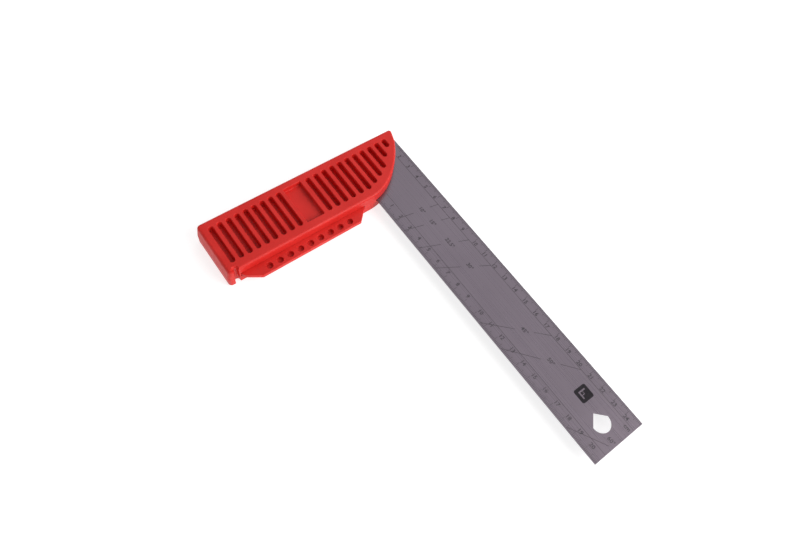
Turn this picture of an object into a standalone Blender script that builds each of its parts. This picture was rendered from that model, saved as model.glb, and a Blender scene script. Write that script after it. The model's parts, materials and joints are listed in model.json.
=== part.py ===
"""Layout square: a slotted stock in two halves, a steel rule blade and a support ledge that slides.

Plan sizes are given as a user of the square reads them. "along" runs from the stock's back edge towards
the blade's tip, and "across" runs from the blade's outer edge down the stock. Heights are measured from
the blade's middle plane, up for the upper shell and down for the lower one.
"""

import math

import bmesh
import bpy
from mathutils import Vector
from mathutils.geometry import interpolate_bezier

MM = 0.001

# Overall sizes
SQUARE_LENGTH = 250.0
STOCK_LENGTH = 150.0
STOCK_WIDTH = 40.0
STOCK_THICKNESS = 16.0
BLADE_WIDTH = 40.0
BLADE_THICKNESS = 1.0
GAP = 0.3

# The stock's outline
TIP_ACROSS = 0.6
TIP_RADIUS = 1.9
BOW_START = (9.9, 4.1)
BOW_START_HANDLE = (22.4, 11.2)
BOW_END_HANDLE = (40.0, 26.8)
BOW_END = (40.0, 44.5)
BOW_POINTS = 14
CORNER_RADIUS = 2.4
RIM_ROUNDING = 1.6
END_DRAFT = 1.2

# Finger slots and the recessed panel between them
SLOT_WIDTH = 3.4
SLOT_DEPTH = 4.6
SLOT_BACK = 5.0
SLOT_FRONT = 34.0
LONG_SLOTS = 9
LONG_SLOT_FIRST = 142.3
LONG_SLOT_PITCH = 5.96
NEAR_SLOTS = 6
NEAR_SLOT_FIRST = 72.6
SHORT_SLOT_FRONTS = (32.0, 29.0, 25.0, 18.0, 12.0)
NEAR_SLOT_PITCH = 6.12
PANEL_LOW = 77.5
PANEL_HIGH = 90.4
PANEL_DEPTH = 3.6

# Pivot notch in the fence
NOTCH_ALONG = 39.0
NOTCH_ACROSS = 144.2
NOTCH_RADIUS = 1.7
NOTCH_MOUTH_RADIUS = 2.6
NOTCH_MOUTH_DEPTH = 1.2

# Blade
TANG_BACK = 3.0
HANG_HOLE_ALONG = 235.0
HANG_HOLE_RADIUS = 6.3
HANG_HOLE_POINT = 6.7

# Ledge
LEDGE_THICKNESS = 3.0
LEDGE_REACH = 8.3
LEDGE_TRAVEL = 8.0
LEDGE_BACK = 17.0
LEDGE_BODY_NEAR = 54.0
LEDGE_BODY_FAR = 137.0
LEDGE_LIP_BACK = 36.0
LEDGE_LIP_NEAR = 50.2
LEDGE_LIP_FAR = 141.3
LEDGE_TAPER_START = 131.0
LEDGE_TAPER_KNEE = (42.6, 139.8)
DIMPLES = 9
DIMPLE_ALONG = 44.4
DIMPLE_FIRST = 65.2
DIMPLE_PITCH = 7.4
DIMPLE_RADIUS = 2.25
DIMPLE_DEPTH = 2.4

# Ledge guides and springs
GUIDE_ALONG = 26.0
GUIDE_ACROSS = (64.0, 124.0)
GUIDE_PIN_RADIUS = 1.7
SPRING_ALONG = (20.5, 28.5)
SPRING_ACROSS = 84.0
SPRING_LENGTH = 11.0
SPRING_WIDTH = 4.0
SPRING_THICKNESS = 0.4
SPRING_RISE = 0.7
SPRING_STEPS = 12

# Dowels and screws
DOWEL_PLACES = ((12.0, 27.0), (31.0, 36.0))
DOWEL_RADIUS = 1.5
PIN_HALF_LENGTH = 2.4
SCREW_PLACES = (
    (6.7, LONG_SLOT_FIRST - LONG_SLOT_PITCH),
    (6.7, LONG_SLOT_FIRST - 6 * LONG_SLOT_PITCH),
    (6.7, NEAR_SLOT_FIRST),
    (6.7, NEAR_SLOT_FIRST - 5 * NEAR_SLOT_PITCH),
    (24.0, LONG_SLOT_FIRST),
    (27.3, NEAR_SLOT_FIRST - 7 * NEAR_SLOT_PITCH),
    (16.3, NEAR_SLOT_FIRST - 9 * NEAR_SLOT_PITCH),
)
SCREW_RADIUS = 0.9
SCREW_HEAD_RADIUS = 1.4
SCREW_HEAD_HEIGHT = 1.2
SCREW_DEPTH = 2.4
ROUND_STEPS = 16

# Colours: base colour, metallic, roughness
RED_PLASTIC = ((0.72, 0.03, 0.035), 0.0, 0.42)
STAINLESS = ((0.33, 0.30, 0.32), 1.0, 0.35)
BRIGHT_STEEL = ((0.62, 0.62, 0.64), 1.0, 0.3)
SPRING_STEEL = ((0.28, 0.27, 0.27), 1.0, 0.4)

HALF = STOCK_THICKNESS / 2
FENCE = STOCK_WIDTH
HIDDEN_HOLE_DEPTH = PIN_HALF_LENGTH + GAP
LEDGE_HALF = LEDGE_THICKNESS / 2
LEDGE_FACE = FENCE + LEDGE_REACH


def clear_scene():
    for thing in list(bpy.data.objects):
        bpy.data.objects.remove(thing, do_unlink=True)


def new_collection(name):
    collection = bpy.data.collections.new(name)
    bpy.context.scene.collection.children.link(collection)
    return collection


def material(name, look):
    color, metallic, roughness = look
    made = bpy.data.materials.new(name)
    made.use_nodes = True
    shader = made.node_tree.nodes["Principled BSDF"]
    shader.inputs["Base Color"].default_value = (*color, 1.0)
    shader.inputs["Metallic"].default_value = metallic
    shader.inputs["Roughness"].default_value = roughness
    return made


def plan(along, across):
    """A plan place in metres, in the part's frame: X is centred on the length, Y on the stock."""
    return Vector(((along - SQUARE_LENGTH / 2) * MM, (STOCK_LENGTH / 2 - across) * MM, 0.0))


def level(height):
    """A height above the blade's middle plane, in metres above the part's base."""
    return (HALF + height) * MM


def arc(center, radius, start, stop, steps):
    """Points on an arc in the plan, angles in degrees from the along axis towards across."""
    points = []
    for step in range(steps + 1):
        angle = math.radians(start + (stop - start) * step / steps)
        points.append((center[0] + radius * math.cos(angle), center[1] + radius * math.sin(angle)))
    return points


def circle(center, radius, steps=ROUND_STEPS):
    return arc(center, radius, 0, 360, steps)[:-1]


def capsule(back, front, across, width):
    """A slot's outline: round at both ends, from back to front."""
    radius = width / 2
    steps = ROUND_STEPS // 2
    front_end = arc((front - radius, across), radius, -90, 90, steps)
    back_end = arc((back + radius, across), radius, 90, 270, steps)
    return front_end + back_end


def rectangle(back, front, near, far):
    return [(back, near), (front, near), (front, far), (back, far)]


def flat_prism(name, outlines, low, high):
    """A solid between two heights. Outlines after the first are holes. All in millimetres."""
    curve = bpy.data.curves.new(name, "CURVE")
    curve.dimensions = "2D"
    curve.fill_mode = "BOTH"
    curve.extrude = abs(high - low) / 2 * MM
    for outline in outlines:
        spline = curve.splines.new("POLY")
        spline.points.add(len(outline) - 1)
        for point, (along, across) in zip(spline.points, outline):
            point.co = (*plan(along, across).xy, 0.0, 1.0)
        spline.use_cyclic_u = True
    drawn = bpy.data.objects.new(name, curve)
    drawn.location.z = level((low + high) / 2)
    return as_mesh(drawn, name)


def as_mesh(drawn, name):
    """Turns a curve object into a closed mesh object at the same place."""
    bpy.context.scene.collection.objects.link(drawn)
    bpy.context.view_layer.update()
    evaluated = drawn.evaluated_get(bpy.context.evaluated_depsgraph_get())
    mesh = bpy.data.meshes.new_from_object(evaluated)
    place = drawn.matrix_world.copy()
    curve = drawn.data
    bpy.data.objects.remove(drawn, do_unlink=True)
    bpy.data.curves.remove(curve)
    mesh.transform(place)
    work = bmesh.new()
    work.from_mesh(mesh)
    bmesh.ops.remove_doubles(work, verts=work.verts, dist=1e-6)
    bmesh.ops.recalc_face_normals(work, faces=work.faces)
    work.to_mesh(mesh)
    work.free()
    mesh.name = name
    return bpy.data.objects.new(name, mesh)


def turned(name, profile):
    """A turned piece about its own Z axis: profile is (radius, height) in millimetres, top to bottom."""
    mesh = bpy.data.meshes.new(name)
    points = [(radius * MM, 0.0, height * MM) for radius, height in profile]
    edges = [(index, index + 1) for index in range(len(points) - 1)]
    mesh.from_pydata(points, edges, [])
    piece = bpy.data.objects.new(name, mesh)
    screw = piece.modifiers.new("turn", "SCREW")
    screw.steps = ROUND_STEPS
    screw.render_steps = ROUND_STEPS
    screw.use_merge_vertices = True
    screw.merge_threshold = 0.00001
    screw.use_normal_calculate = True
    return piece


def finish(piece, collection, made_of):
    collection.objects.link(piece)
    piece.data.materials.clear()
    piece.data.materials.append(made_of)
    return piece


def add_cutter(cutters, piece):
    cutters.objects.link(piece)
    piece.hide_render = True
    piece.display_type = "WIRE"


def stock_outline():
    """The stock in plan: a pointed bow at the blade's end and small round corners at the other."""
    knots = (BOW_START, BOW_START_HANDLE, BOW_END_HANDLE, BOW_END)
    bow = interpolate_bezier(*[Vector(knot) for knot in knots], BOW_POINTS)
    far = STOCK_LENGTH - CORNER_RADIUS
    front_corner = arc((FENCE - CORNER_RADIUS, far), CORNER_RADIUS, 0, 90, 4)
    back_corner = arc((CORNER_RADIUS, far), CORNER_RADIUS, 90, 180, 4)
    lean = math.atan2(BOW_START[1] - TIP_ACROSS, BOW_START[0])
    tip_center = TIP_ACROSS + TIP_RADIUS * (1 + math.sin(lean)) / math.cos(lean)
    tip = arc((TIP_RADIUS, tip_center), TIP_RADIUS, 180, 270 + math.degrees(lean), 4)
    return tip + [tuple(point) for point in bow] + front_corner + back_corner


def slot_outlines():
    outlines = []
    for index in range(LONG_SLOTS):
        across = LONG_SLOT_FIRST - index * LONG_SLOT_PITCH
        outlines.append(capsule(SLOT_BACK, SLOT_FRONT, across, SLOT_WIDTH))
    fronts = [SLOT_FRONT] * NEAR_SLOTS + list(SHORT_SLOT_FRONTS)
    for index, front in enumerate(fronts):
        across = NEAR_SLOT_FIRST - index * NEAR_SLOT_PITCH
        outlines.append(capsule(SLOT_BACK, front, across, SLOT_WIDTH))
    return outlines


def cut_away(piece, cutters):
    boolean = piece.modifiers.new("cuts", "BOOLEAN")
    boolean.operation = "DIFFERENCE"
    boolean.solver = "EXACT"
    boolean.operand_type = "COLLECTION"
    boolean.collection = cutters


def draft_end(work, outer):
    """Leans the far end's wall in towards the shell's outer face, as seen on the upper shell."""
    end = plan(0.0, STOCK_LENGTH - CORNER_RADIUS).y
    for vert in work.verts:
        if abs(vert.co.z - outer) < 1e-6 and vert.co.y < end + 1e-6:
            vert.co.y += END_DRAFT * MM


def round_rim(piece, side):
    """Rounds the edge round the shell's outer face, once the upper shell's end wall leans in."""
    work = bmesh.new()
    work.from_mesh(piece.data)
    outer = level(side * HALF)
    if side > 0:
        draft_end(work, outer)
        work.normal_update()
    rim = []
    for edge in work.edges:
        on_face = all(abs(vert.co.z - outer) < 1e-6 for vert in edge.verts)
        faces = edge.link_faces
        if on_face and len(faces) == 2 and faces[0].normal.angle(faces[1].normal) > 1.0:
            rim.append(edge)
    bmesh.ops.bevel(work, geom=rim, offset=RIM_ROUNDING * MM, segments=3, profile=0.5, affect="EDGES")
    work.to_mesh(piece.data)
    work.free()


def notch_mouth(side):
    """The countersink where the pivot notch meets the shell's face."""
    work = bmesh.new()
    extra = 0.5
    slope = (NOTCH_MOUTH_RADIUS - NOTCH_RADIUS) / NOTCH_MOUTH_DEPTH
    wide = (NOTCH_MOUTH_RADIUS + slope * extra) * MM
    deep = (NOTCH_MOUTH_DEPTH + extra) * MM
    radii = (NOTCH_RADIUS * MM, wide) if side > 0 else (wide, NOTCH_RADIUS * MM)
    bmesh.ops.create_cone(work, cap_ends=True, segments=ROUND_STEPS, radius1=radii[0], radius2=radii[1],
                          depth=deep)
    mesh = bpy.data.meshes.new("notch_mouth")
    work.to_mesh(mesh)
    work.free()
    piece = bpy.data.objects.new("notch_mouth", mesh)
    piece.location = plan(NOTCH_ALONG, NOTCH_ACROSS)
    piece.location.z = level(side * (HALF + (extra - NOTCH_MOUTH_DEPTH) / 2))
    return piece


def shell_cutters(side, cutters):
    """Everything that is cut out of one half of the stock."""
    beyond = HALF + 1.0
    inside = -1.0

    def cut(name, outline, low, high):
        add_cutter(cutters, flat_prism(name, [outline], side * low, side * high))

    for outline in slot_outlines():
        cut("finger_slot", outline, HALF - SLOT_DEPTH, beyond)
    cut("panel", rectangle(SLOT_BACK, SLOT_FRONT, PANEL_LOW, PANEL_HIGH), HALF - PANEL_DEPTH, beyond)
    notch_end = FENCE + 2 + NOTCH_RADIUS
    notch = capsule(NOTCH_ALONG - NOTCH_RADIUS, notch_end, NOTCH_ACROSS, 2 * NOTCH_RADIUS)
    cut("notch", notch, inside, beyond)
    add_cutter(cutters, notch_mouth(side))
    blade_room = rectangle(TANG_BACK - GAP, FENCE + 2, -1.0, BLADE_WIDTH + GAP)
    cut("blade_room", blade_room, inside, BLADE_THICKNESS / 2 + GAP)
    cut("ledge_room", ledge_room_outline(), inside, LEDGE_HALF + GAP)
    for place in DOWEL_PLACES:
        cut("dowel_hole", circle(place, DOWEL_RADIUS + GAP), inside, HIDDEN_HOLE_DEPTH)
    for across in GUIDE_ACROSS:
        cut("guide_hole", circle((GUIDE_ALONG, across), GUIDE_PIN_RADIUS + GAP), inside, HIDDEN_HOLE_DEPTH)
    for place in SCREW_PLACES:
        depth = SCREW_DEPTH + GAP if side > 0 else HALF - SLOT_DEPTH / 2
        cut("screw_hole", circle(place, SCREW_RADIUS + GAP), inside, depth)
    if side > 0:
        half_width = SPRING_WIDTH / 2 + GAP
        half_length = SPRING_LENGTH / 2 + GAP
        ceiling = LEDGE_HALF + GAP + SPRING_THICKNESS + SPRING_RISE + GAP
        for along in SPRING_ALONG:
            room = rectangle(along - half_width, along + half_width,
                             SPRING_ACROSS - half_length, SPRING_ACROSS + half_length)
            cut("spring_room", room, inside, ceiling)


def ledge_room_outline():
    """The pocket that the ledge slides in, open at the fence."""
    back = LEDGE_BACK - LEDGE_TRAVEL - GAP
    step = LEDGE_LIP_BACK - LEDGE_TRAVEL - GAP
    body_near = LEDGE_BODY_NEAR - GAP
    body_far = LEDGE_BODY_FAR + GAP
    lip_near = LEDGE_LIP_NEAR - GAP
    lip_far = LEDGE_LIP_FAR + GAP
    mouth = FENCE + 2
    return [(back, body_near), (step, body_near), (step, lip_near), (mouth, lip_near),
            (mouth, lip_far), (step, lip_far), (step, body_far), (back, body_far)]


def stock_shell(name, side, collection, made_of):
    """One half of the stock: side is 1 for the upper half and -1 for the lower."""
    shell = flat_prism(name, [stock_outline()], side * GAP / 2, side * HALF)
    round_rim(shell, side)
    cutters = new_collection(name + "_cutters")
    shell_cutters(side, cutters)
    finish(shell, collection, made_of)
    cut_away(shell, cutters)


def hang_hole_outline():
    """Round towards the blade's tip, and a right-angled point towards the stock."""
    center = (HANG_HOLE_ALONG, BLADE_WIDTH / 2)
    point = (HANG_HOLE_ALONG - HANG_HOLE_POINT, BLADE_WIDTH / 2)
    turn = 45 + math.degrees(math.asin(HANG_HOLE_POINT / (HANG_HOLE_RADIUS * math.sqrt(2))))
    return arc(center, HANG_HOLE_RADIUS, -turn, turn, 2 * ROUND_STEPS) + [point]


def blade(collection, made_of):
    outlines = [rectangle(TANG_BACK, SQUARE_LENGTH, 0.0, BLADE_WIDTH), hang_hole_outline()]
    outlines += [circle(place, DOWEL_RADIUS + GAP) for place in DOWEL_PLACES]
    in_tang = [place for place in SCREW_PLACES if place[1] < BLADE_WIDTH]
    outlines += [circle(place, SCREW_RADIUS + GAP) for place in in_tang]
    finish(flat_prism("blade", outlines, -BLADE_THICKNESS / 2, BLADE_THICKNESS / 2), collection, made_of)


def support_ledge(collection, made_of):
    """The ledge in its drawn-out place, with blind dimples outside and guide slots inside the stock."""
    chamfer = LEDGE_REACH
    outline = [
        (LEDGE_BACK, LEDGE_BODY_NEAR),
        (LEDGE_LIP_BACK, LEDGE_BODY_NEAR),
        (LEDGE_LIP_BACK, LEDGE_LIP_NEAR),
        (FENCE, LEDGE_LIP_NEAR),
        (LEDGE_FACE, LEDGE_LIP_NEAR + chamfer),
        (LEDGE_FACE, LEDGE_TAPER_START),
        LEDGE_TAPER_KNEE,
        (FENCE, LEDGE_LIP_FAR),
        (LEDGE_LIP_BACK, LEDGE_LIP_FAR),
        (LEDGE_LIP_BACK, LEDGE_BODY_FAR),
        (LEDGE_BACK, LEDGE_BODY_FAR),
    ]
    outlines = [outline]
    reach = GUIDE_PIN_RADIUS + GAP
    for across in GUIDE_ACROSS:
        outlines.append(capsule(GUIDE_ALONG - reach, GUIDE_ALONG + LEDGE_TRAVEL + reach, across, 2 * reach))
    ledge = flat_prism("support_ledge", outlines, -LEDGE_HALF, LEDGE_HALF)
    cutters = new_collection("support_ledge_cutters")
    for index in range(DIMPLES):
        dimple = circle((DIMPLE_ALONG, DIMPLE_FIRST + index * DIMPLE_PITCH), DIMPLE_RADIUS)
        add_cutter(cutters, flat_prism("dimple", [dimple], LEDGE_HALF - DIMPLE_DEPTH, LEDGE_HALF + 1.0))
    finish(ledge, collection, made_of)
    cut_away(ledge, cutters)


def pin(name, place, radius, collection, made_of):
    """A plain steel pin across the blade's plane, with small chamfers."""
    chamfer = 0.3
    profile = [(0.0, PIN_HALF_LENGTH), (radius - chamfer, PIN_HALF_LENGTH),
               (radius, PIN_HALF_LENGTH - chamfer), (radius, chamfer - PIN_HALF_LENGTH),
               (radius - chamfer, -PIN_HALF_LENGTH), (0.0, -PIN_HALF_LENGTH)]
    piece = turned(name, profile)
    piece.location = plan(*place)
    piece.location.z = level(0.0)
    finish(piece, collection, made_of)


def stock_screw(name, place, collection, made_of):
    """A pan head screw, head down on the floor of a finger slot of the lower shell."""
    seat = SLOT_DEPTH - HALF - GAP
    head_end = seat - SCREW_HEAD_HEIGHT
    profile = [(0.0, SCREW_DEPTH), (SCREW_RADIUS - 0.4, SCREW_DEPTH), (SCREW_RADIUS, SCREW_DEPTH - 0.8),
               (SCREW_RADIUS, seat), (SCREW_HEAD_RADIUS, seat), (SCREW_HEAD_RADIUS, head_end + 0.5),
               (SCREW_HEAD_RADIUS - 0.4, head_end), (0.0, head_end)]
    piece = turned(name, profile)
    piece.location = plan(*place)
    piece.location.z = level(0.0)
    finish(piece, collection, made_of)


def ledge_spring(name, along, collection, made_of):
    """A bowed leaf: its middle bears on the ledge, and its ends bear on the upper shell."""
    half = SPRING_LENGTH / 2
    radius = (half * half + SPRING_RISE * SPRING_RISE) / (2 * SPRING_RISE)
    reach = math.degrees(math.asin(half / radius))
    inside = arc((0.0, radius), radius, -90 - reach, -90 + reach, SPRING_STEPS)
    outside = arc((0.0, radius), radius - SPRING_THICKNESS, -90 + reach, -90 - reach, SPRING_STEPS)
    curve = bpy.data.curves.new(name, "CURVE")
    curve.dimensions = "2D"
    curve.fill_mode = "BOTH"
    curve.extrude = SPRING_WIDTH / 2 * MM
    spline = curve.splines.new("POLY")
    outline = inside + outside
    spline.points.add(len(outline) - 1)
    for point, (run, rise) in zip(spline.points, outline):
        point.co = (run * MM, rise * MM, 0.0, 1.0)
    spline.use_cyclic_u = True
    drawn = bpy.data.objects.new(name, curve)
    drawn.rotation_euler = (math.pi / 2, 0.0, math.pi / 2)
    drawn.location = plan(along, SPRING_ACROSS)
    drawn.location.z = level(LEDGE_HALF + GAP)
    finish(as_mesh(drawn, name), collection, made_of)


def build():
    clear_scene()
    square = new_collection("layout_square")
    red_upper = material("red_plastic_upper", RED_PLASTIC)
    red_lower = material("red_plastic_lower", RED_PLASTIC)
    red_ledge = material("red_plastic_ledge", RED_PLASTIC)
    stainless = material("stainless_blade", STAINLESS)
    bright = material("bright_steel", BRIGHT_STEEL)
    sprung = material("spring_steel", SPRING_STEEL)
    stock_shell("stock_upper_shell", 1, square, red_upper)
    stock_shell("stock_lower_shell", -1, square, red_lower)
    blade(square, stainless)
    support_ledge(square, red_ledge)
    for number, place in enumerate(DOWEL_PLACES, 1):
        pin(f"blade_dowel_{number}", place, DOWEL_RADIUS, square, bright)
    for number, across in enumerate(GUIDE_ACROSS, 1):
        pin(f"ledge_guide_pin_{number}", (GUIDE_ALONG, across), GUIDE_PIN_RADIUS, square, bright)
    for number, along in enumerate(SPRING_ALONG, 1):
        ledge_spring(f"ledge_spring_{number}", along, square, sprung)
    for number, place in enumerate(SCREW_PLACES, 1):
        stock_screw(f"stock_screw_{number}", place, square, bright)


build()
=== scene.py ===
"""Looks of the layout square: moulded red stock and ledge, brushed blade with etched scales.

Plan places are "along" from the stock's back edge towards the blade's tip, and "across" from the blade's
outer edge down the stock, both in millimetres. Heights are from the blade's middle plane.
"""

import json
import math

import bmesh
import bpy
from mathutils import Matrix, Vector
from mathutils.geometry import interpolate_bezier


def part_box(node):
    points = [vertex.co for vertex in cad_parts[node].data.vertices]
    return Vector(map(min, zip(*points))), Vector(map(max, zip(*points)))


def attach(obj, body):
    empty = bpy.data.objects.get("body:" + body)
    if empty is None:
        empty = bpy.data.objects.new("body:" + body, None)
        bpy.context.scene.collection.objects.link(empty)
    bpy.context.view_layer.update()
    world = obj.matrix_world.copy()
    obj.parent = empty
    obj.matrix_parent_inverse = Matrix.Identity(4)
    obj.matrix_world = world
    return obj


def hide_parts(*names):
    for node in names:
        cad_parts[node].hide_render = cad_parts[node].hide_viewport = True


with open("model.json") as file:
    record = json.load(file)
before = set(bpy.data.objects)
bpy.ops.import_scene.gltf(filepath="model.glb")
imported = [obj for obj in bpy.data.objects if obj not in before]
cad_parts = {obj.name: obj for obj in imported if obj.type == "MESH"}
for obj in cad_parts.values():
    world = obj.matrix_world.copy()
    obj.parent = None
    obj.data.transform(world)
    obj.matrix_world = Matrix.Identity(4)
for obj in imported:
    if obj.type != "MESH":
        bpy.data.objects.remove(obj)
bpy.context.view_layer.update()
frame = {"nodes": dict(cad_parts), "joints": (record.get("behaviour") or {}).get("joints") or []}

MM = 0.001
stock_low, stock_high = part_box("stock_upper_shell")
lower_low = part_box("stock_lower_shell")[0]
blade_low, blade_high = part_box("blade")
ledge_low, ledge_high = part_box("support_ledge")
screw_low, screw_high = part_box("stock_screw_1")

# Where the plan and the heights start
BACK_X = stock_low.x
OUTER_Y = blade_high.y
MIDDLE_Z = (blade_low.z + blade_high.z) / 2

# Sizes read from the frame, in millimetres. The frame's halves stand a gap apart.
HALF = (stock_high.z - MIDDLE_Z) / MM
SPLIT = (stock_low.z - MIDDLE_Z) / MM
FENCE = (stock_high.x - BACK_X) / MM
STOCK_END = (OUTER_Y - stock_low.y) / MM
BLADE_TIP = (blade_high.x - BACK_X) / MM
TANG_BACK = (blade_low.x - BACK_X) / MM
BLADE_WIDTH = (OUTER_Y - blade_low.y) / MM
BLADE_HALF = (blade_high.z - blade_low.z) / 2 / MM
LEDGE_BACK = (ledge_low.x - BACK_X) / MM
LEDGE_FACE = (ledge_high.x - BACK_X) / MM
LEDGE_HALF = (ledge_high.z - ledge_low.z) / 2 / MM
LEDGE_LIP_NEAR = (OUTER_Y - ledge_high.y) / MM
LEDGE_LIP_FAR = (OUTER_Y - ledge_low.y) / MM
GAP = 2 * SPLIT

# Stock outline, the same as the solid's
TIP_ACROSS = 0.6
TIP_RADIUS = 1.9
BOW = ((9.9, 4.1), (22.4, 11.2), (40.0, 26.8), (40.0, 44.5))
CORNER_RADIUS = 2.4
RIM_ROUNDING = 1.6
END_DRAFT = 1.2
RIM_STEPS = 6
SEAM = 0.04
SEAM_CHAMFER = 0.12

# Finger slots and panel
SLOT_WIDTH = 3.4
SLOT_DEPTH = 4.6
SLOT_BACK = 5.0
SLOT_FRONT = 34.0
LONG_SLOTS = 9
LONG_SLOT_FIRST = 142.3
LONG_SLOT_PITCH = 5.96
NEAR_SLOTS = 6
NEAR_SLOT_FIRST = 72.6
NEAR_SLOT_PITCH = 6.12
SHORT_SLOT_FRONTS = (32.0, 29.0, 25.0, 18.0, 12.0)
SLOT_LIP = 0.35
SLOT_FILLET = 0.5
SLOT_DRAFT = 0.08
PANEL_LOW = 77.5
PANEL_HIGH = 90.4
PANEL_DEPTH = 3.6
PANEL_CORNER = 0.7

# Pivot notch
NOTCH_ALONG = 39.0
NOTCH_ACROSS = 144.2
NOTCH_RADIUS = 1.7
NOTCH_MOUTH_RADIUS = 2.6
NOTCH_MOUTH_DEPTH = 1.2

# Blade
HANG_HOLE_ALONG = 235.0
HANG_HOLE_RADIUS = 6.3
HANG_HOLE_POINT = 6.7
BLADE_CHAMFER = 0.08

# Ledge
LEDGE_TRAVEL = frame["joints"][0]["range_m"][1] / MM
LEDGE_BODY_NEAR = 54.0
LEDGE_BODY_FAR = 137.0
LEDGE_LIP_BACK = 36.0
LEDGE_TAPER_START = 131.0
LEDGE_TAPER_KNEE = (42.6, 139.8)
LEDGE_ROUNDING = 0.35
DIMPLES = 9
DIMPLE_ALONG = 44.4
DIMPLE_FIRST = 65.2
DIMPLE_PITCH = 7.4
DIMPLE_RADIUS = 2.25
DIMPLE_DEPTH = 2.4
DIMPLE_LIP = 0.15
DIMPLE_FILLET = 0.3
DIMPLE_DRAFT = 0.05

# Hidden hardware
GUIDE_ALONG = 26.0
GUIDE_ACROSS = (64.0, 124.0)
GUIDE_PIN_RADIUS = 1.7
SPRING_ALONG = (20.5, 28.5)
SPRING_ACROSS = 84.0
SPRING_ROOM = (4.6, 11.6)
SPRING_CEILING = 3.2
DOWEL_PLACES = ((12.0, 27.0), (31.0, 36.0))
DOWEL_RADIUS = 1.5
HIDDEN_HOLE_DEPTH = 2.7
SCREWS = 7
SCREW_RADIUS = 0.9
SCREW_HEAD_RADIUS = (screw_high.x - screw_low.x) / 2 / MM
SCREW_HEAD_HEIGHT = 1.2
SCREW_HEAD_ROUNDING = 0.45
SCREW_POINT_LENGTH = 0.8
SCREW_POINT_TAPER = 0.5
CROSS_REACH = 0.8
CROSS_HALF_WIDTH = 0.18
CROSS_DEPTH = 0.6
SCREW_LOW = (screw_low.z - MIDDLE_Z) / MM
SCREW_TOP = (screw_high.z - MIDDLE_Z) / MM

# Cutters run past the faces they cut, so that no face lies on another
OVER = 0.5
INNER_OVER = 1.0
FENCE_OVER = 2.0
NOTCH_OVER = 3.0

# How finely curves are cut up
ROUND_STEPS = 32
BOW_STEPS = 48
CORNER_STEPS = 10
HANG_HOLE_STEPS = 64
BLADE_EDGE_STEPS = 2


# ---------------------------------------------------------------- outlines, in millimetres

def arc(center, radius, start, stop, steps):
    points = []
    for step in range(steps + 1):
        angle = math.radians(start + (stop - start) * step / steps)
        points.append((center[0] + radius * math.cos(angle), center[1] + radius * math.sin(angle)))
    return points


def circle(center, radius, steps=ROUND_STEPS):
    return arc(center, radius, 0, 360, steps)[:-1]


def capsule(back, front, across, radius):
    """A slot's outline for the given end radius. The ends' centres stay put as the radius grows."""
    steps = ROUND_STEPS // 2
    inset = SLOT_WIDTH / 2
    front_end = arc((front - inset, across), radius, -90, 90, steps)
    back_end = arc((back + inset, across), radius, 90, 270, steps)
    return front_end + back_end


def round_rectangle(back, front, near, far, corner, grow=0.0):
    """A rectangle with round corners, grown outwards."""
    radius = corner + grow
    centers = ((front - corner, far - corner), (back + corner, far - corner),
               (back + corner, near + corner), (front - corner, near + corner))
    points = []
    for quarter, center in enumerate(centers):
        points += arc(center, radius, 90 * quarter, 90 * quarter + 90, 5)
    return points


def rectangle(back, front, near, far):
    return [(back, near), (front, near), (front, far), (back, far)]


def inset_outline(outline, distance):
    """Moves each point of a closed outline inwards, square to its two edges."""
    area = 0.0
    for here, there in zip(outline, outline[1:] + outline[:1]):
        area += here[0] * there[1] - there[0] * here[1]
    turn = 1 if area > 0 else -1
    moved = []
    count = len(outline)
    for index, point in enumerate(outline):
        here = Vector(point)
        before = (here - Vector(outline[index - 1])).normalized()
        after = (Vector(outline[(index + 1) % count]) - here).normalized()
        normal_before = Vector((-before.y, before.x)) * turn
        normal_after = Vector((-after.y, after.x)) * turn
        middle = (normal_before + normal_after).normalized()
        moved.append(tuple(here + middle * (distance / max(middle.dot(normal_before), 0.3))))
    return moved


def stock_outline(height):
    """The stock in plan at a height from the middle plane. Above it the far end leans in."""
    bow = interpolate_bezier(*[Vector(knot) for knot in BOW], BOW_STEPS)
    far = STOCK_END - CORNER_RADIUS - END_DRAFT * max(height - SPLIT, 0.0) / (HALF - SPLIT)
    front_corner = arc((FENCE - CORNER_RADIUS, far), CORNER_RADIUS, 0, 90, CORNER_STEPS)
    back_corner = arc((CORNER_RADIUS, far), CORNER_RADIUS, 90, 180, CORNER_STEPS)
    lean = math.atan2(BOW[0][1] - TIP_ACROSS, BOW[0][0])
    tip_center = TIP_ACROSS + TIP_RADIUS * (1 + math.sin(lean)) / math.cos(lean)
    tip = arc((TIP_RADIUS, tip_center), TIP_RADIUS, 180, 270 + math.degrees(lean), CORNER_STEPS)
    return tip + [tuple(point) for point in bow] + front_corner + back_corner


def slot_places():
    """Each slot's across place and front end."""
    places = [(LONG_SLOT_FIRST - index * LONG_SLOT_PITCH, SLOT_FRONT) for index in range(LONG_SLOTS)]
    fronts = [SLOT_FRONT] * NEAR_SLOTS + list(SHORT_SLOT_FRONTS)
    places += [(NEAR_SLOT_FIRST - index * NEAR_SLOT_PITCH, front) for index, front in enumerate(fronts)]
    return places


def hang_hole_outline(grow=0.0):
    """Round towards the blade's tip, and a right-angled point towards the stock."""
    center = (HANG_HOLE_ALONG, BLADE_WIDTH / 2)
    radius = HANG_HOLE_RADIUS + grow
    reach = HANG_HOLE_POINT + grow * math.sqrt(2)
    turn = 45 + math.degrees(math.asin(reach / (radius * math.sqrt(2))))
    return arc(center, radius, -turn, turn, HANG_HOLE_STEPS) + [(center[0] - reach, center[1])]


def notch_outline(radius):
    """The pivot notch: round inside and open past the fence."""
    mouth = FENCE + NOTCH_OVER
    inside = arc((NOTCH_ALONG, NOTCH_ACROSS), radius, 90, 270, ROUND_STEPS // 2)
    return inside + [(mouth, NOTCH_ACROSS - radius), (mouth, NOTCH_ACROSS + radius)]


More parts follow.
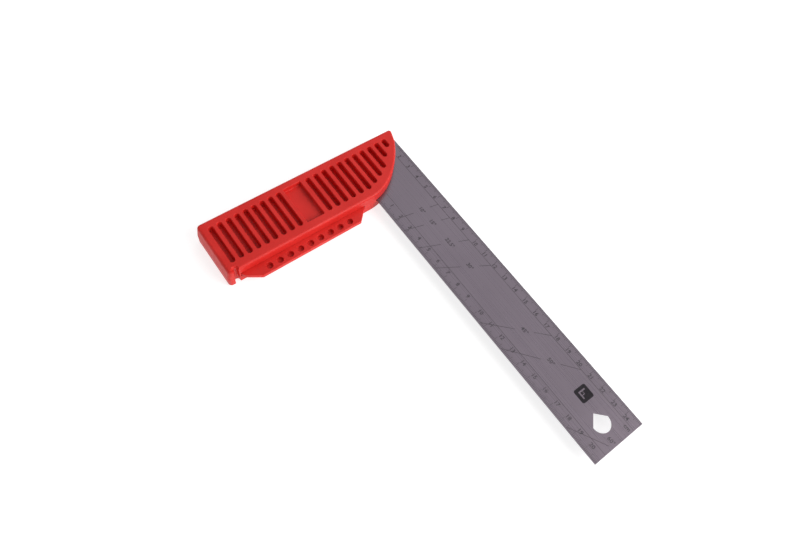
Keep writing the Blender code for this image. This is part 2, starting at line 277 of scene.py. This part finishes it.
# ---------------------------------------------------------------- solids

def place(along, across, height):
    """A point in metres in the frame."""
    return Vector((BACK_X + along * MM, OUTER_Y - across * MM, MIDDLE_Z + height * MM))


def loft(name, rings):
    """A closed solid through rings of (outline, height), all with the same number of points."""
    work = bmesh.new()
    rows = []
    for outline, height in rings:
        rows.append([work.verts.new(place(along, across, height)) for along, across in outline])
    for low, high in zip(rows, rows[1:]):
        for index in range(len(low)):
            following = (index + 1) % len(low)
            work.faces.new((low[index], low[following], high[following], high[index]))
    work.faces.new(rows[0])
    work.faces.new(rows[-1])
    bmesh.ops.recalc_face_normals(work, faces=work.faces)
    mesh = bpy.data.meshes.new(name)
    work.to_mesh(mesh)
    work.free()
    piece = bpy.data.objects.new(name, mesh)
    bpy.context.scene.collection.objects.link(piece)
    return piece


def quarter_round(radius, steps):
    """(inset, drop) pairs that turn a wall into a face: from the wall to the face."""
    pairs = []
    for step in range(steps + 1):
        angle = math.radians(90 * step / steps)
        pairs.append((radius * (1 - math.cos(angle)), radius * (1 - math.sin(angle))))
    return pairs


def rounded_slab(name, outline, half, radius, steps):
    """A plate about the middle plane with its edges rounded on both faces."""
    rings = []
    for inset, drop in reversed(quarter_round(radius, steps)):
        rings.append((inset_outline(outline, inset), -half + drop))
    for inset, drop in quarter_round(radius, steps):
        rings.append((inset_outline(outline, inset), half - drop))
    return loft(name, rings)


def through_cutter(grown, half, lip, steps):
    """A hole through a plate, with its rims rounded. grown gives the outline for a growth."""
    rings = [(grown(lip), -half - OVER)]
    for inset, drop in reversed(quarter_round(lip, steps)):
        rings.append((grown(inset), -half + drop))
    for inset, drop in quarter_round(lip, steps):
        rings.append((grown(inset), half - drop))
    rings.append((grown(lip), half + OVER))
    return loft("cutter", rings)


def recess_cutter(grown, side, face, depth, lip, fillet, draft):
    """A blind recess from a face, with a rounded lip and a filleted floor."""
    bottom = face - depth
    rings = []
    for inset, rise in reversed(quarter_round(fillet, 3)):
        rings.append((grown(-inset - draft), side * (bottom + rise)))
    for inset, drop in quarter_round(lip, 4):
        rings.append((grown(inset), side * (face - drop)))
    rings.append((grown(lip), side * (face + OVER)))
    return loft("cutter", rings)


def prism_cutter(outline, low, high):
    return loft("cutter", [(outline, low), (outline, high)])


def cut(piece, cutters):
    """Takes the cutters away from the piece and removes them."""
    group = bpy.data.collections.new(piece.name + "_cutters")
    bpy.context.scene.collection.children.link(group)
    for cutter in cutters:
        group.objects.link(cutter)
        bpy.context.scene.collection.objects.unlink(cutter)
    boolean = piece.modifiers.new("cuts", "BOOLEAN")
    boolean.operation = "DIFFERENCE"
    boolean.solver = "EXACT"
    boolean.operand_type = "COLLECTION"
    boolean.collection = group
    apply_modifiers(piece)
    for cutter in cutters:
        mesh = cutter.data
        bpy.data.objects.remove(cutter, do_unlink=True)
        bpy.data.meshes.remove(mesh)
    bpy.data.collections.remove(group)


def apply_modifiers(piece):
    bpy.context.view_layer.update()
    evaluated = piece.evaluated_get(bpy.context.evaluated_depsgraph_get())
    mesh = bpy.data.meshes.new_from_object(evaluated)
    old = piece.data
    piece.modifiers.clear()
    piece.data = mesh
    bpy.data.meshes.remove(old)


def smooth(piece, angle=35.0):
    """Smooth shading that keeps flat faces flat."""
    piece.data.shade_smooth()
    piece.data.set_sharp_from_angle(angle=math.radians(angle))
    weighted = piece.modifiers.new("weighted", "WEIGHTED_NORMAL")
    weighted.keep_sharp = True
    weighted.weight = 80


# ---------------------------------------------------------------- materials

class Nodes:
    """Short ways to make and join shader nodes."""

    def __init__(self, name):
        self.material = bpy.data.materials.new(name)
        self.material.use_nodes = True
        self.tree = self.material.node_tree
        self.shader = self.tree.nodes["Principled BSDF"]
        coordinates = self.tree.nodes.new("ShaderNodeTexCoord")
        self.position = coordinates.outputs["Object"]

    def link(self, source, target):
        self.tree.links.new(source, target)

    def stretched(self, scale):
        """Object coordinates scaled along each axis."""
        mapping = self.tree.nodes.new("ShaderNodeMapping")
        mapping.inputs["Scale"].default_value = scale
        self.link(self.position, mapping.inputs["Vector"])
        return mapping.outputs["Vector"]

    def noise(self, vector, scale, detail=3.0, roughness=0.5):
        texture = self.tree.nodes.new("ShaderNodeTexNoise")
        texture.inputs["Scale"].default_value = scale
        texture.inputs["Detail"].default_value = detail
        texture.inputs["Roughness"].default_value = roughness
        self.link(vector, texture.inputs["Vector"])
        return texture.outputs["Fac"]

    def remap(self, value, from_low, from_high, to_low, to_high):
        node = self.tree.nodes.new("ShaderNodeMapRange")
        node.inputs["From Min"].default_value = from_low
        node.inputs["From Max"].default_value = from_high
        node.inputs["To Min"].default_value = to_low
        node.inputs["To Max"].default_value = to_high
        self.link(value, node.inputs["Value"])
        return node.outputs["Result"]

    def mix(self, factor, first, second):
        node = self.tree.nodes.new("ShaderNodeMix")
        node.data_type = "RGBA"
        for socket, color in ((node.inputs["A"], first), (node.inputs["B"], second)):
            if isinstance(color, tuple):
                socket.default_value = (*color, 1.0)
            else:
                self.link(color, socket)
        self.link(factor, node.inputs["Factor"])
        return node.outputs["Result"]

    def bump(self, height, strength, distance, below=None):
        node = self.tree.nodes.new("ShaderNodeBump")
        node.inputs["Strength"].default_value = strength
        node.inputs["Distance"].default_value = distance
        self.link(height, node.inputs["Height"])
        if below is not None:
            self.link(below, node.inputs["Normal"])
        return node.outputs["Normal"]


def moulded_red(name):
    """Satin moulded plastic: fine spark-eroded grain, faint flow marks and slightly uneven gloss."""
    make = Nodes(name)
    cloud = make.noise(make.position, 60.0, 4.0)
    color = make.mix(make.remap(cloud, 0.35, 0.65, 0.0, 1.0), (0.60, 0.018, 0.014), (0.66, 0.025, 0.020))
    make.link(color, make.shader.inputs["Base Color"])
    gloss = make.noise(make.position, 240.0, 3.0)
    make.link(make.remap(gloss, 0.3, 0.7, 0.40, 0.50), make.shader.inputs["Roughness"])
    grain = make.noise(make.position, 4200.0, 2.0)
    sink = make.noise(make.position, 140.0, 2.0)
    low = make.bump(sink, 0.25, 0.0004)
    make.link(make.bump(grain, 0.25, 0.00006, low), make.shader.inputs["Normal"])
    make.shader.inputs["Specular IOR Level"].default_value = 0.25
    return make.material


def brushed_steel(name, dark, light, rough_low, rough_high):
    """Steel brushed along its length: long fine scratches in colour, gloss and relief."""
    make = Nodes(name)
    lines = make.noise(make.stretched((12.0, 2600.0, 900.0)), 1.0, 4.0, 0.6)
    cloud = make.noise(make.position, 25.0, 3.0)
    streak = make.mix(make.remap(lines, 0.3, 0.7, 0.0, 1.0), dark, light)
    tint = make.mix(make.remap(cloud, 0.35, 0.65, 0.0, 0.35), streak, tuple(0.9 * part for part in dark))
    make.link(tint, make.shader.inputs["Base Color"])
    make.shader.inputs["Metallic"].default_value = 1.0
    make.link(make.remap(lines, 0.3, 0.7, rough_low, rough_high), make.shader.inputs["Roughness"])
    make.link(make.bump(lines, 0.25, 0.00002), make.shader.inputs["Normal"])
    return make.material


def turned_steel(name, color, roughness):
    """Bright steel of screws, pins and springs, with faint uneven gloss."""
    make = Nodes(name)
    marks = make.noise(make.position, 1800.0, 2.0)
    shade = make.mix(make.remap(marks, 0.3, 0.7, 0.0, 1.0), tuple(0.85 * part for part in color), color)
    make.link(shade, make.shader.inputs["Base Color"])
    make.shader.inputs["Metallic"].default_value = 1.0
    gloss = make.remap(marks, 0.3, 0.7, roughness - 0.05, roughness + 0.08)
    make.link(gloss, make.shader.inputs["Roughness"])
    return make.material


def etched_mark(name, dark, light, specular):
    """The dark oxide of the etched marks, a little worn."""
    make = Nodes(name)
    wear = make.noise(make.position, 900.0, 3.0)
    shade = make.mix(make.remap(wear, 0.35, 0.7, 0.0, 1.0), dark, light)
    make.link(shade, make.shader.inputs["Base Color"])
    make.shader.inputs["Roughness"].default_value = 0.6
    make.shader.inputs["Specular IOR Level"].default_value = specular
    return make.material


# ---------------------------------------------------------------- stock

def stock_shell(name, side):
    """One half of the stock: side is 1 for the upper half and -1 for the lower."""
    outline = stock_outline(SPLIT)
    rings = [(inset_outline(outline, SEAM_CHAMFER), side * SEAM),
             (outline, side * (SEAM + SEAM_CHAMFER))]
    for inset, drop in quarter_round(RIM_ROUNDING, RIM_STEPS):
        rings.append((inset_outline(stock_outline(side * (HALF - drop)), inset), side * (HALF - drop)))
    shell = loft(name, rings)
    cut(shell, shell_cutters(side))
    smooth(shell)
    return shell


def slot_cutter(side, across, front):
    def grown(growth):
        return capsule(SLOT_BACK, front, across, SLOT_WIDTH / 2 + growth)
    return recess_cutter(grown, side, HALF, SLOT_DEPTH, SLOT_LIP, SLOT_FILLET, SLOT_DRAFT)


def panel_cutter(side):
    def grown(growth):
        return round_rectangle(SLOT_BACK, SLOT_FRONT, PANEL_LOW, PANEL_HIGH, PANEL_CORNER, growth)
    return recess_cutter(grown, side, HALF, PANEL_DEPTH, SLOT_LIP, SLOT_FILLET, SLOT_DRAFT)


def notch_cutter(side):
    """The pivot notch in the fence, with a flared mouth at the face."""
    flare = (NOTCH_MOUTH_RADIUS - NOTCH_RADIUS) / NOTCH_MOUTH_DEPTH
    rings = [(notch_outline(NOTCH_RADIUS), -side * INNER_OVER),
             (notch_outline(NOTCH_RADIUS), side * (HALF - NOTCH_MOUTH_DEPTH)),
             (notch_outline(NOTCH_MOUTH_RADIUS), side * HALF),
             (notch_outline(NOTCH_MOUTH_RADIUS + flare * OVER), side * (HALF + OVER))]
    return loft("cutter", rings)


def ledge_room_outline():
    back = LEDGE_BACK - LEDGE_TRAVEL - GAP
    step = LEDGE_LIP_BACK - LEDGE_TRAVEL - GAP
    mouth = FENCE + FENCE_OVER
    body_near = LEDGE_BODY_NEAR - GAP
    body_far = LEDGE_BODY_FAR + GAP
    lip_near = LEDGE_LIP_NEAR - GAP
    lip_far = LEDGE_LIP_FAR + GAP
    return [(back, body_near), (step, body_near), (step, lip_near), (mouth, lip_near),
            (mouth, lip_far), (step, lip_far), (step, body_far), (back, body_far)]


def screw_places():
    places = []
    for number in range(1, SCREWS + 1):
        low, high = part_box(f"stock_screw_{number}")
        middle = (low + high) / 2
        places.append(((middle.x - BACK_X) / MM, (OUTER_Y - middle.y) / MM))
    return places


def shell_cutters(side):
    """Everything that is cut out of one half of the stock."""
    inner = -side * INNER_OVER
    cutters = [slot_cutter(side, across, front) for across, front in slot_places()]
    cutters.append(panel_cutter(side))
    cutters.append(notch_cutter(side))
    blade_room = rectangle(TANG_BACK - GAP, FENCE + FENCE_OVER, -INNER_OVER, BLADE_WIDTH + GAP)
    cutters.append(prism_cutter(blade_room, inner, side * (BLADE_HALF + GAP)))
    cutters.append(prism_cutter(ledge_room_outline(), inner, side * (LEDGE_HALF + GAP)))
    for center in DOWEL_PLACES:
        cutters.append(prism_cutter(circle(center, DOWEL_RADIUS + GAP), inner, side * HIDDEN_HOLE_DEPTH))
    for across in GUIDE_ACROSS:
        hole = circle((GUIDE_ALONG, across), GUIDE_PIN_RADIUS + GAP)
        cutters.append(prism_cutter(hole, inner, side * HIDDEN_HOLE_DEPTH))
    for center in screw_places():
        depth = HIDDEN_HOLE_DEPTH if side > 0 else HALF - SLOT_DEPTH / 2
        cutters.append(prism_cutter(circle(center, SCREW_RADIUS + GAP), inner, side * depth))
    if side > 0:
        half_width, half_length = SPRING_ROOM[0] / 2, SPRING_ROOM[1] / 2
        for along in SPRING_ALONG:
            room = rectangle(along - half_width, along + half_width,
                             SPRING_ACROSS - half_length, SPRING_ACROSS + half_length)
            cutters.append(prism_cutter(room, inner, SPRING_CEILING))
    return cutters


# ---------------------------------------------------------------- blade and ledge

def blade():
    outline = rectangle(TANG_BACK, BLADE_TIP, 0.0, BLADE_WIDTH)
    piece = rounded_slab("rule_blade", outline, BLADE_HALF, BLADE_CHAMFER, BLADE_EDGE_STEPS)
    cutters = [through_cutter(hang_hole_outline, BLADE_HALF, BLADE_CHAMFER, BLADE_EDGE_STEPS)]
    past = BLADE_HALF + OVER
    for center in DOWEL_PLACES:
        cutters.append(prism_cutter(circle(center, DOWEL_RADIUS + GAP), -past, past))
    for center in screw_places():
        if center[1] < BLADE_WIDTH:
            cutters.append(prism_cutter(circle(center, SCREW_RADIUS + GAP), -past, past))
    cut(piece, cutters)
    smooth(piece)
    return piece


def dimple_cutter(across):
    def grown(growth):
        return circle((DIMPLE_ALONG, across), DIMPLE_RADIUS + growth)
    return recess_cutter(grown, 1, LEDGE_HALF, DIMPLE_DEPTH, DIMPLE_LIP, DIMPLE_FILLET, DIMPLE_DRAFT)


def ledge():
    outline = [
        (LEDGE_BACK, LEDGE_BODY_NEAR),
        (LEDGE_LIP_BACK, LEDGE_BODY_NEAR),
        (LEDGE_LIP_BACK, LEDGE_LIP_NEAR),
        (FENCE, LEDGE_LIP_NEAR),
        (LEDGE_FACE, LEDGE_LIP_NEAR + LEDGE_FACE - FENCE),
        (LEDGE_FACE, LEDGE_TAPER_START),
        LEDGE_TAPER_KNEE,
        (FENCE, LEDGE_LIP_FAR),
        (LEDGE_LIP_BACK, LEDGE_LIP_FAR),
        (LEDGE_LIP_BACK, LEDGE_BODY_FAR),
        (LEDGE_BACK, LEDGE_BODY_FAR),
    ]
    piece = rounded_slab("dimpled_ledge", outline, LEDGE_HALF, LEDGE_ROUNDING, 4)
    cutters = [dimple_cutter(DIMPLE_FIRST + index * DIMPLE_PITCH) for index in range(DIMPLES)]
    reach = GUIDE_PIN_RADIUS + GAP
    for across in GUIDE_ACROSS:
        steps = ROUND_STEPS // 2
        front_end = arc((GUIDE_ALONG + LEDGE_TRAVEL, across), reach, -90, 90, steps)
        back_end = arc((GUIDE_ALONG, across), reach, 90, 270, steps)
        cutters.append(prism_cutter(front_end + back_end, -LEDGE_HALF - OVER, LEDGE_HALF + OVER))
    cut(piece, cutters)
    smooth(piece)
    return piece


# ---------------------------------------------------------------- etched marks

MARK_SINK = 0.02
MARK_RISE = 0.03
TICK_WIDTH = 0.24
TICK_LENGTHS = (2.0, 3.0, 4.0)
LINE_WIDTH = 0.3
SCALE_LINE_WIDTH = 0.24
SCALE_LINE_OUTER = 7.3
SCALE_LINE_INNER = 31.6
NUMERAL_HEIGHT = 2.7
NUMERAL_OUTER = 5.6
NUMERAL_INNER = 34.2
ONE_DIGIT_SHIFT = -1.3
TWO_DIGIT_SHIFT = 1.5
DEGREE_HEIGHT = 2.7
DEGREE_ACROSS = 19.4
DEGREE_BREAK = 6.0
LAST_DEGREE_ACROSS = 23.0
ANGLE_ORIGIN = (FENCE, 145.8)
ANGLES = (10.0, 15.0, 22.5, 30.0, 45.0, 50.0, 60.0)
BADGE_CENTER = (216.5, 16.5)
BADGE_HALF = 4.6
BADGE_CORNER = 1.2
UNIT_PLACE = (3.8, 9.6)
OUTER_NUMBERS = range(2, 25)
INNER_NUMBERS = range(1, 21)


class Marks:
    """Thin flat marks gathered into one mesh on the blade's face."""

    def __init__(self):
        self.work = bmesh.new()

    def strip(self, start, end, width):
        """A straight mark from start to end."""
        first, last = Vector(start), Vector(end)
        way = (last - first).normalized()
        side = Vector((-way.y, way.x)) * width / 2
        self.plate([first - side, last - side, last + side, first + side])

    def plate(self, outline):
        low = [self.work.verts.new(place(*point, BLADE_HALF - MARK_SINK)) for point in outline]
        high = [self.work.verts.new(place(*point, BLADE_HALF + MARK_RISE)) for point in outline]
        faces = [self.work.faces.new(low), self.work.faces.new(high)]
        for index in range(len(outline)):
            following = (index + 1) % len(outline)
            quad = (low[index], low[following], high[following], high[index])
            faces.append(self.work.faces.new(quad))
        bmesh.ops.recalc_face_normals(self.work, faces=faces)

    def piece(self, name):
        mesh = bpy.data.meshes.new(name)
        self.work.to_mesh(mesh)
        self.work.free()
        made = bpy.data.objects.new(name, mesh)
        bpy.context.scene.collection.objects.link(made)
        return made


def bow_along(across):
    """Where the stock's bow crosses the given across place."""
    points = interpolate_bezier(*[Vector(knot) for knot in BOW], 200)
    nearest = min(points, key=lambda point: abs(point[1] - across))
    return nearest[0]


def scale_ticks(name, zero, edge, inward):
    """Millimetre, half and whole centimetre ticks along one edge, from the stock to the tip."""
    marks = Marks()
    for count in range(1, int(BLADE_TIP - zero)):
        size = 2 if count % 10 == 0 else 1 if count % 5 == 0 else 0
        across = edge + inward * TICK_LENGTHS[size]
        along = zero + count
        if along > 1.0 + max(bow_along(edge), bow_along(across)):
            marks.strip((along, edge + inward * BLADE_CHAMFER), (along, across), TICK_WIDTH)
    return marks.piece(name)


def lettering(name, words, height):
    """Numerals as thin meshes, all in one piece. words are (text, along, across)."""
    drawn = []
    for text, along, across in words:
        curve = bpy.data.curves.new(name, "FONT")
        curve.body = text
        curve.size = 1.38 * height * MM
        curve.align_x = "CENTER"
        curve.align_y = "CENTER"
        curve.resolution_u = 2
        curve.offset = 0.03 * height * MM
        curve.extrude = (MARK_SINK + MARK_RISE) / 2 * MM
        word = bpy.data.objects.new(name, curve)
        word.location = place(along, across, BLADE_HALF + (MARK_RISE - MARK_SINK) / 2)
        bpy.context.scene.collection.objects.link(word)
        drawn.append(word)
    bpy.context.view_layer.update()
    graph = bpy.context.evaluated_depsgraph_get()
    joined = bmesh.new()
    for word in drawn:
        mesh = bpy.data.meshes.new_from_object(word.evaluated_get(graph))
        mesh.transform(word.matrix_world)
        joined.from_mesh(mesh)
        bpy.data.meshes.remove(mesh)
    bmesh.ops.remove_doubles(joined, verts=joined.verts, dist=1e-7)
    result = bpy.data.meshes.new(name)
    joined.to_mesh(result)
    joined.free()
    for word in drawn:
        curve = word.data
        bpy.data.objects.remove(word, do_unlink=True)
        bpy.data.curves.remove(curve)
    piece = bpy.data.objects.new(name, result)
    bpy.context.scene.collection.objects.link(piece)
    return piece


def scale_numerals(name, zero, across, numbers):
    words = []
    for number in numbers:
        shift = ONE_DIGIT_SHIFT if number < 10 else TWO_DIGIT_SHIFT
        words.append((str(number), zero + 10 * number + shift, across))
    return lettering(name, words, NUMERAL_HEIGHT)


def on_angle_line(angle, across):
    """Where the line at that angle from the pivot notch crosses the given across place."""
    return ANGLE_ORIGIN[0] + (ANGLE_ORIGIN[1] - across) * math.tan(math.radians(angle))


def degree_across(angle):
    """The last number stands lower, where its line still lies on the blade."""
    return LAST_DEGREE_ACROSS if angle == ANGLES[-1] else DEGREE_ACROSS


def angle_lines():
    """Lines that run from the notch across the blade, each broken round its own number."""
    marks = Marks()
    for angle in ANGLES:
        half_break = DEGREE_BREAK * math.cos(math.radians(angle))
        middle = degree_across(angle)
        for near, far in ((BLADE_WIDTH - 1.0, middle + half_break), (middle - half_break, SCALE_LINE_OUTER)):
            ends = [(on_angle_line(angle, across), across) for across in (near, far)]
            if ends[1][0] < BLADE_TIP:
                marks.strip(*ends, LINE_WIDTH)
    return marks.piece("angle_lines")


def degree_numbers():
    words = []
    for angle in ANGLES:
        along = min(on_angle_line(angle, degree_across(angle)), BLADE_TIP - 4.0)
        words.append((f"{angle:g}°", along, degree_across(angle)))
    return lettering("degree_numbers", words, DEGREE_HEIGHT)


def right_angle_badge():
    """A plain right-angle sign left bare in a dark square, a generic mark for a square."""
    along, across = BADGE_CENTER
    low, high = along - BADGE_HALF, along + BADGE_HALF
    outline = round_rectangle(low, high, across - BADGE_HALF, across + BADGE_HALF, BADGE_CORNER)
    badge = loft("right_angle_badge", [(outline, BLADE_HALF - MARK_SINK), (outline, BLADE_HALF + MARK_RISE)])
    back, far = along - 2.4, across + 2.4
    strokes = [rectangle(back, back + 0.9, far - 5.0, far),
               rectangle(back + 0.9, back + 5.0, far - 0.9, far),
               rectangle(back + 0.9, back + 2.6, far - 2.9, far - 2.5),
               rectangle(back + 2.6, back + 3.0, far - 2.9, far - 0.9)]
    cut(badge, [prism_cutter(stroke, BLADE_HALF - 0.2, BLADE_HALF + 0.2) for stroke in strokes])
    return badge


def scale_lines():
    marks = Marks()
    for across in (SCALE_LINE_OUTER, SCALE_LINE_INNER):
        marks.strip((bow_along(across) + 2.0, across), (BLADE_TIP - 0.4, across), SCALE_LINE_WIDTH)
    return marks.piece("scale_lines")


def etched_marks():
    return [
        scale_ticks("outer_scale_ticks", 0.0, 0.0, 1),
        scale_ticks("inner_scale_ticks", FENCE, BLADE_WIDTH, -1),
        scale_numerals("outer_scale_numbers", 0.0, NUMERAL_OUTER, OUTER_NUMBERS),
        scale_numerals("inner_scale_numbers", FENCE, NUMERAL_INNER, INNER_NUMBERS),
        lettering("scale_unit", [("cm", BLADE_TIP - UNIT_PLACE[0], UNIT_PLACE[1])], NUMERAL_HEIGHT),
        angle_lines(),
        scale_lines(),
        degree_numbers(),
    ]


# ---------------------------------------------------------------- screws

def screw(name, center):
    """A pan head screw with a cross recess, head down."""
    seat = SCREW_LOW + SCREW_HEAD_HEIGHT
    rings = []
    for inset, drop in reversed(quarter_round(SCREW_HEAD_ROUNDING, 4)):
        rings.append((circle(center, SCREW_HEAD_RADIUS - inset), SCREW_LOW + drop))
    rings.append((circle(center, SCREW_HEAD_RADIUS), seat))
    rings.append((circle(center, SCREW_RADIUS), seat))
    rings.append((circle(center, SCREW_RADIUS), SCREW_TOP - SCREW_POINT_LENGTH))
    rings.append((circle(center, SCREW_RADIUS - SCREW_POINT_TAPER), SCREW_TOP))
    piece = loft(name, rings)
    along, across = center
    reach, half_width = CROSS_REACH, CROSS_HALF_WIDTH
    arms = [rectangle(along - reach, along + reach, across - half_width, across + half_width),
            rectangle(along - half_width, along + half_width, across - reach, across + reach)]
    cut(piece, [prism_cutter(arm, SCREW_LOW - OVER, SCREW_LOW + CROSS_DEPTH) for arm in arms])
    smooth(piece)
    return piece


# ---------------------------------------------------------------- assembly

def dress(piece, material, body, slot, *nodes):
    piece.data.materials.clear()
    piece.data.materials.append(material)
    if nodes:
        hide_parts(*nodes)
    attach(piece, body)


def build_square():
    red = moulded_red("moulded_red")
    red_ledge = moulded_red("moulded_red_ledge")
    stainless = brushed_steel("brushed_stainless", (0.198, 0.165, 0.196), (0.240, 0.203, 0.237), 0.26, 0.34)
    bright = turned_steel("bright_steel_turned", (0.62, 0.62, 0.64), 0.3)
    sprung = turned_steel("spring_steel_strip", (0.28, 0.27, 0.27), 0.38)
    etched = etched_mark("etched_oxide", (0.028, 0.022, 0.028), (0.075, 0.062, 0.075), 0.5)
    filled = etched_mark("filled_oxide", (0.008, 0.006, 0.009), (0.020, 0.016, 0.021), 0.2)

    dress(stock_shell("stock_upper", 1), red, "stock", "red_plastic", "stock_upper_shell")
    dress(stock_shell("stock_lower", -1), red, "stock", "red_plastic", "stock_lower_shell")
    dress(blade(), stainless, "stock", "stainless_blade", "blade")
    dress(ledge(), red_ledge, "ledge", "ledge_plastic", "support_ledge")
    for piece in etched_marks():
        dress(piece, etched, "stock", "stainless_blade")
    dress(right_angle_badge(), filled, "stock", "stainless_blade")
    for number, center in enumerate(screw_places(), 1):
        dress(screw(f"pan_screw_{number}", center), bright, "stock", "bright_steel", f"stock_screw_{number}")
    for node in ("blade_dowel_1", "blade_dowel_2", "ledge_guide_pin_1", "ledge_guide_pin_2"):
        frame["nodes"][node].data.materials[0] = bright
    for node in ("ledge_spring_1", "ledge_spring_2"):
        frame["nodes"][node].data.materials[0] = sprung


# ---------------------------------------------------------------- stage

SKY_TOP = 0.20
SKY_HORIZON = 0.75
FLOOR_ALBEDO = 0.42
FLOOR_GLOW = 0.76
FLOOR_SIZE = 30.0
FLOOR_DROP = 0.0002
CAMERA_LENS = 28.27
CAMERA_PLACE = (0.09197, -0.12695, 0.35321)
CAMERA_TURN = (27.411, -6.549, 53.360)


def floor():
    bpy.ops.mesh.primitive_plane_add(size=FLOOR_SIZE, location=(0.0, 0.0, lower_low.z - FLOOR_DROP))
    plane = bpy.context.object
    plane.name = "studio_floor"
    paint = bpy.data.materials.new("studio_floor")
    paint.use_nodes = True
    shader = paint.node_tree.nodes["Principled BSDF"]
    shader.inputs["Base Color"].default_value = (FLOOR_ALBEDO, FLOOR_ALBEDO, FLOOR_ALBEDO, 1.0)
    shader.inputs["Roughness"].default_value = 0.8
    shader.inputs["Emission Color"].default_value = (1.0, 1.0, 1.0, 1.0)
    shader.inputs["Emission Strength"].default_value = FLOOR_GLOW
    plane.data.materials.append(paint)


def area_light(name, position, size, power, color):
    light = bpy.data.lights.new(name, "AREA")
    light.shape = "DISK"
    light.size = size
    light.energy = power
    light.color = color
    lamp = bpy.data.objects.new(name, light)
    lamp.location = position
    lamp.rotation_euler = (-Vector(position)).to_track_quat("-Z", "Y").to_euler()
    bpy.context.scene.collection.objects.link(lamp)


def sky():
    """A white room, brighter round the sides than overhead."""
    world = bpy.data.worlds.new("studio")
    bpy.context.scene.world = world
    world.use_nodes = True
    tree = world.node_tree
    coordinates = tree.nodes.new("ShaderNodeTexCoord")
    split = tree.nodes.new("ShaderNodeSeparateXYZ")
    height = tree.nodes.new("ShaderNodeMapRange")
    height.interpolation_type = "SMOOTHSTEP"
    height.inputs["To Min"].default_value = SKY_HORIZON
    height.inputs["To Max"].default_value = SKY_TOP
    background = tree.nodes["Background"]
    background.inputs["Color"].default_value = (1.0, 1.0, 1.0, 1.0)
    tree.links.new(coordinates.outputs["Generated"], split.inputs["Vector"])
    tree.links.new(split.outputs["Z"], height.inputs["Value"])
    tree.links.new(height.outputs["Result"], background.inputs["Strength"])


def studio():
    sky()
    area_light("key", (0.92, 0.70, 0.86), 1.25, 20.5, (1.0, 0.99, 0.98))
    area_light("fill", (-0.38, 0.55, 1.15), 1.4, 3.6, (0.98, 0.99, 1.0))
    bpy.context.scene.view_settings.view_transform = "Standard"


def camera():
    """The view down on the square from its inner side."""
    lens = bpy.data.cameras.new("camera")
    lens.lens = CAMERA_LENS
    lens.sensor_width = 36.0
    lens.clip_start = 0.01
    shown = bpy.data.objects.new("camera", lens)
    shown.location = CAMERA_PLACE
    shown.rotation_euler = [math.radians(turn) for turn in CAMERA_TURN]
    bpy.context.scene.collection.objects.link(shown)
    bpy.context.scene.camera = shown


build_square()
floor()
studio()
camera()
